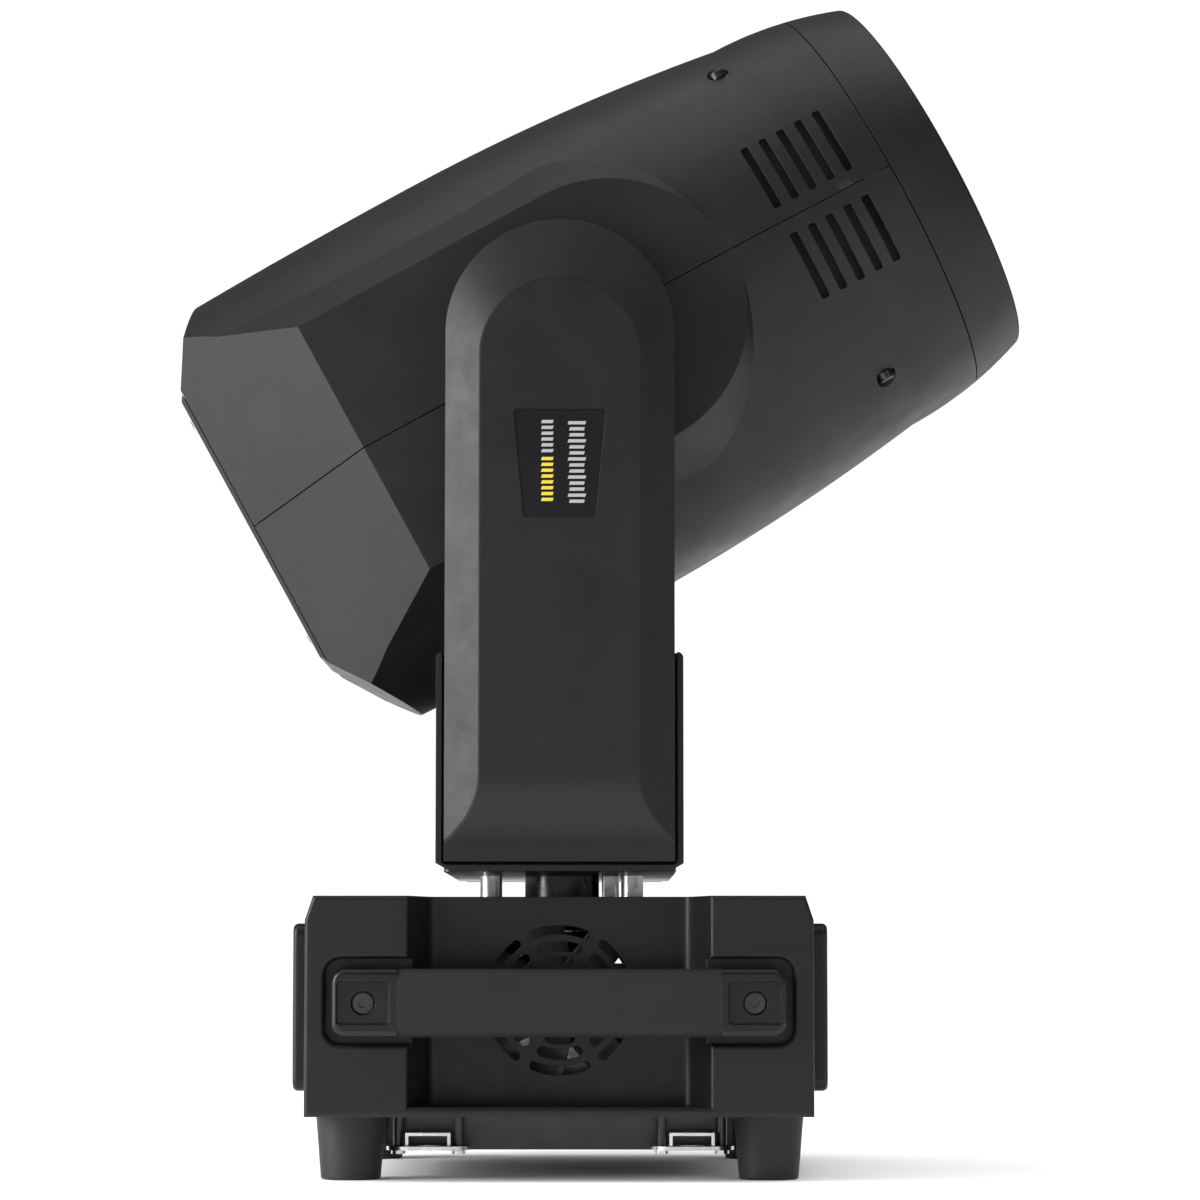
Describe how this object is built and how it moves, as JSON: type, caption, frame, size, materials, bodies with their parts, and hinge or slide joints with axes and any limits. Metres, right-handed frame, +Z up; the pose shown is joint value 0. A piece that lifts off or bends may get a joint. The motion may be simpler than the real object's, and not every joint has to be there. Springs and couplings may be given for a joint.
{
  "type": "moving head light",
  "caption": "Motorised stage light: a tapered head tilts in a two-armed yoke that pans on a low base with side handles, a menu panel, connectors, feet and clamp receptacles.",
  "frame": {"origin": "centre of the four quarter-turn receptacles, on their outer faces, on the pan axis and 14 mm above the floor that the feet stand on", "axes": "+Z up along the pan axis; +X towards the menu panel end of the base, the way the head leans at rest; Y along the tilt axis, with the left arm and handle on the -Y side"},
  "size_m": [0.4412, 0.33, 0.6147],
  "materials": {
    "head_plastic": "fine matte grain, black",
    "arm_plastic": "fine matte grain, black",
    "base_plastic": "satin black",
    "handle_plastic": "semi-gloss black",
    "grip_plastic": "matte dark grey",
    "foot_rubber": "moulded black rubber",
    "black_steel": "black powder coat",
    "plain_steel": "zinc plated",
    "dark_steel": "blackened, oiled",
    "bare_aluminium": "machined",
    "motor_paint": "satin black",
    "supply_steel": "perforated case",
    "board_laminate": "green solder mask",
    "belt_rubber": "toothed belt",
    "fan_plastic": "moulded black",
    "lens_glass": "clear, coated",
    "screen_plastic": "dark window over the screen",
    "button_plastic": "dark grey",
    "socket_plastic": "black",
    "badge_print": "dark plate with a light grey and yellow pattern"
  },
  "bodies": {
    "base": {"base_tray": "black_steel", "base_cover_left": "base_plastic", "base_cover_right": "base_plastic", "handle_left": "handle_plastic", "handle_right": "handle_plastic", "handle_grips": "grip_plastic", "handle_screws": "dark_steel", "rubber_feet": "foot_rubber", "camlock_receptacles": "plain_steel", "camlock_posts": "black_steel", "safety_eye": "black_steel", "display_panel": "base_plastic", "display_screen": "screen_plastic", "connector_panel": "base_plastic", "panel_sockets": "socket_plastic", "pan_bridge": "plain_steel", "pan_bearing": "dark_steel", "pan_motor": "motor_paint", "pan_belt": "belt_rubber", "power_supply": "supply_steel", "control_board": "board_laminate", "base_fan_frames": "fan_plastic"},
    "yoke": {"pan_hub": "bare_aluminium", "pan_shaft": "dark_steel", "yoke_plate": "black_steel", "yoke_beam_cover": "arm_plastic", "arm_plates": "plain_steel", "arm_inner_cover_left": "arm_plastic", "arm_inner_cover_right": "arm_plastic", "arm_cover_left": "arm_plastic", "arm_cover_right": "arm_plastic", "arm_badges": "badge_print", "tilt_bearings": "dark_steel", "tilt_motor": "motor_paint", "tilt_belt": "belt_rubber"},
    "head": {"tilt_trunnions": "bare_aluminium", "head_upper_shell": "head_plastic", "head_lower_shell": "head_plastic", "front_ring": "head_plastic", "front_lens": "lens_glass", "rear_cover": "head_plastic", "head_chassis": "black_steel", "heat_sink": "bare_aluminium", "led_module": "board_laminate", "head_fan_frame": "fan_plastic", "head_shell_screws": "dark_steel"},
    "pan_motor_rotor": {"pan_motor_pulley": "bare_aluminium"},
    "tilt_motor_rotor": {"tilt_motor_pulley": "bare_aluminium"},
    "base_fan_left": {"base_fan_rotor_left": "fan_plastic"},
    "base_fan_right": {"base_fan_rotor_right": "fan_plastic"},
    "head_fan": {"head_fan_rotor": "fan_plastic"},
    "colour_wheel": {"colour_wheel": "bare_aluminium"},
    "gobo_wheel": {"gobo_wheel": "bare_aluminium"},
    "prism": {"prism_arm": "bare_aluminium"},
    "focus": {"focus_carriage": "bare_aluminium"},
    "zoom": {"zoom_carriage": "bare_aluminium"},
    "button_up": {"up_button": "button_plastic"},
    "button_down": {"down_button": "button_plastic"},
    "button_menu": {"menu_button": "button_plastic"},
    "button_enter": {"enter_button": "button_plastic"}
  },
  "joints": [
    {"name": "pan", "type": "hinge", "parent": "base", "child": "yoke", "pos_m": [0, 0, 0.126], "axis": [0, 0, 1], "range_deg": [-270, 270]},
    {"name": "tilt", "type": "hinge", "parent": "yoke", "child": "head", "pos_m": [0, 0, 0.406], "axis": [0, 1, 0], "range_deg": [-196.3, 73.7]},
    {"name": "pan_motor_turn", "type": "hinge", "parent": "base", "child": "pan_motor_rotor", "pos_m": [-0.08, 0, 0.098], "axis": [0, 0, 1], "range_deg": [-1501, 1501]},
    {"name": "tilt_motor_turn", "type": "hinge", "parent": "yoke", "child": "tilt_motor_rotor", "pos_m": [0, -0.13, 0.221], "axis": [0, 1, 0], "range_deg": [-982, 369]},
    {"name": "base_fan_left_spin", "type": "hinge", "parent": "base", "child": "base_fan_left", "pos_m": [0, -0.105, 0.0747], "axis": [0, -1, 0], "continuous": true},
    {"name": "base_fan_right_spin", "type": "hinge", "parent": "base", "child": "base_fan_right", "pos_m": [0, 0.105, 0.0747], "axis": [0, 1, 0], "continuous": true},
    {"name": "head_fan_spin", "type": "hinge", "parent": "head", "child": "head_fan", "pos_m": [-0.14473, 0, 0.32676], "axis": [-0.8771, 0, -0.4802], "continuous": true},
    {"name": "colour_wheel_turn", "type": "hinge", "parent": "head", "child": "colour_wheel", "pos_m": [-0.05734, 0, 0.43161], "axis": [0.8771, 0, 0.4802], "continuous": true},
    {"name": "gobo_wheel_turn", "type": "hinge", "parent": "head", "child": "gobo_wheel", "pos_m": [-0.00406, 0, 0.34678], "axis": [0.8771, 0, 0.4802], "continuous": true},
    {"name": "prism_swing", "type": "hinge", "parent": "head", "child": "prism", "pos_m": [0.01398, 0.04, 0.34297], "axis": [0.8771, 0, 0.4802], "range_deg": [-60, 0]},
    {"name": "focus_travel", "type": "slide", "parent": "head", "child": "focus", "axis": [0.8771, 0, 0.4802], "range_m": [-0.018, 0.022]},
    {"name": "zoom_travel", "type": "slide", "parent": "head", "child": "zoom", "axis": [0.8771, 0, 0.4802], "range_m": [-0.024, 0.05]},
    {"name": "up_press", "type": "slide", "parent": "base", "child": "button_up", "axis": [-1, 0, 0], "range_m": [0, 0.0012], "stiffness_N_per_m": 600},
    {"name": "down_press", "type": "slide", "parent": "base", "child": "button_down", "axis": [-1, 0, 0], "range_m": [0, 0.0012], "stiffness_N_per_m": 600},
    {"name": "menu_press", "type": "slide", "parent": "base", "child": "button_menu", "axis": [-1, 0, 0], "range_m": [0, 0.0012], "stiffness_N_per_m": 600},
    {"name": "enter_press", "type": "slide", "parent": "base", "child": "button_enter", "axis": [-1, 0, 0], "range_m": [0, 0.0012], "stiffness_N_per_m": 600}
  ],
  "couplings": [
    {"joint": "pan_motor_turn", "follows": "pan", "ratio": 5.5556},
    {"joint": "tilt_motor_turn", "follows": "tilt", "ratio": 5}
  ]
}
